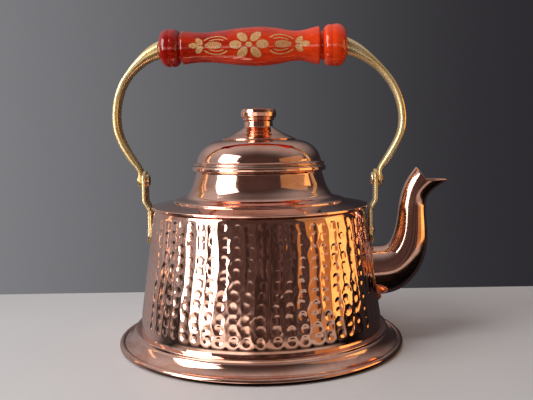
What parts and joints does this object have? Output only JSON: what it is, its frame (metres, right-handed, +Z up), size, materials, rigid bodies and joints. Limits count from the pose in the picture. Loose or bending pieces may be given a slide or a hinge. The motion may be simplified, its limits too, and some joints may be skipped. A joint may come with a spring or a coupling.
{
  "type": "copper kettle",
  "caption": "Hammered copper kettle with a lift-off domed lid, a gooseneck spout and a swinging brass bail with a turned wooden grip.",
  "frame": {"origin": "centre of the base, on the surface that the kettle stands on", "axes": "+Z up through the lid's knob, +X towards the spout, the bail swings about an axis along X"},
  "size_m": [0.2349, 0.2, 0.2211],
  "materials": {
    "hammered_copper": "polished copper, hammered with round dents",
    "polished_copper": "polished spun copper with fine turning lines",
    "tinned_copper": "dull tin lining over copper",
    "cast_brass": "cast brass, filed and polished",
    "rivet_brass": "peened brass",
    "rivet_copper": "peened copper, tinned",
    "solder": "dull soft solder",
    "steel": "drawn steel",
    "lacquered_wood": "turned wood under a glossy red lacquer with gold painted flowers"
  },
  "bodies": {
    "pot": {"body_wall": "hammered_copper", "base_skirt": "polished_copper", "base_plate": "polished_copper", "rim_wire": "steel", "shoulder_neck": "polished_copper", "spout": "polished_copper", "spout_solder": "solder", "bracket_left": "cast_brass", "bracket_right": "cast_brass", "leaf_rivet_left": "rivet_copper", "leaf_rivet_right": "rivet_copper", "pivot_rivet_left": "rivet_brass", "pivot_rivet_right": "rivet_brass"},
    "lid": {"lid_dome": "polished_copper", "lid_sleeve": "tinned_copper", "finial_foot": "polished_copper", "knob_head": "polished_copper", "knob_stud": "steel", "knob_washer": "rivet_brass"},
    "bail": {"handle_arm_left": "cast_brass", "handle_arm_right": "cast_brass", "grip": "lacquered_wood", "grip_rod": "steel"}
  },
  "joints": [
    {"name": "bail_swing", "type": "hinge", "parent": "pot", "child": "bail", "pos_m": [0, 0, 0.114], "axis": [1, 0, 0], "range_deg": [-105, 105]},
    {"name": "lid_lift", "type": "slide", "parent": "pot", "child": "lid", "axis": [0, 0, 1], "range_m": [0, 0.025]}
  ]
}
